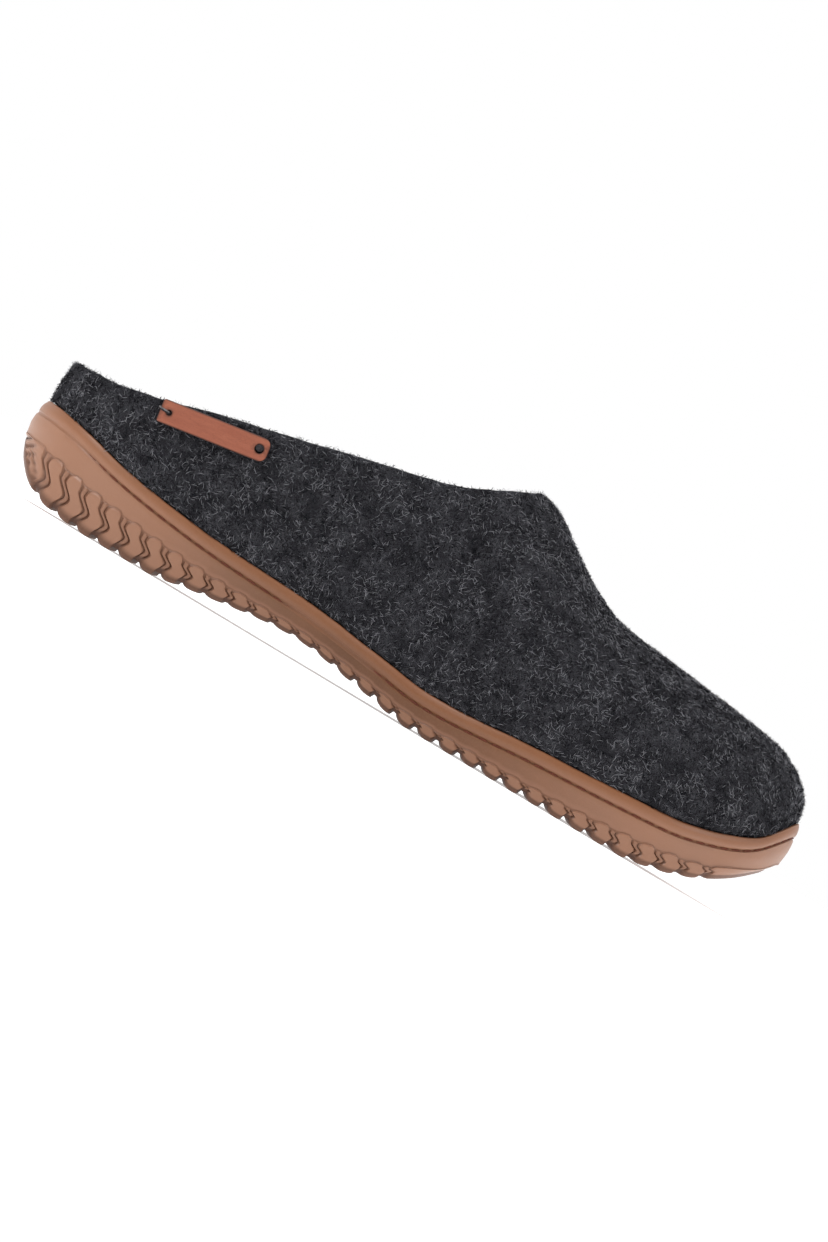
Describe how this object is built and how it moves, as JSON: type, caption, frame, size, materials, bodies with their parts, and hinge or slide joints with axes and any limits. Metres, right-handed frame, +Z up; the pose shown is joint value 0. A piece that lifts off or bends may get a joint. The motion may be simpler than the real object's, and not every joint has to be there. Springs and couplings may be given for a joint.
{
  "type": "slipper",
  "caption": "Right-foot felted wool slipper: seamless slip-on upper with a low heel cup on a moulded rubber cup sole with cross lugs.",
  "frame": {"origin": "on the floor, under the middle of the shoe's box", "axes": "+X from heel to toe, +Z up, +Y to the inner side of the right foot"},
  "size_m": [0.288, 0.105, 0.0906],
  "materials": {
    "gum_rubber": "matt moulded gum rubber",
    "wool_felt": "hairy charcoal wool felt",
    "sock_felt": "pressed wool felt",
    "tan_leather": "matt tan leather with dark edges"
  },
  "bodies": {
    "root": {"outsole": "gum_rubber", "upper": "wool_felt", "insole": "sock_felt", "tag": "tan_leather"}
  },
  "joints": []
}
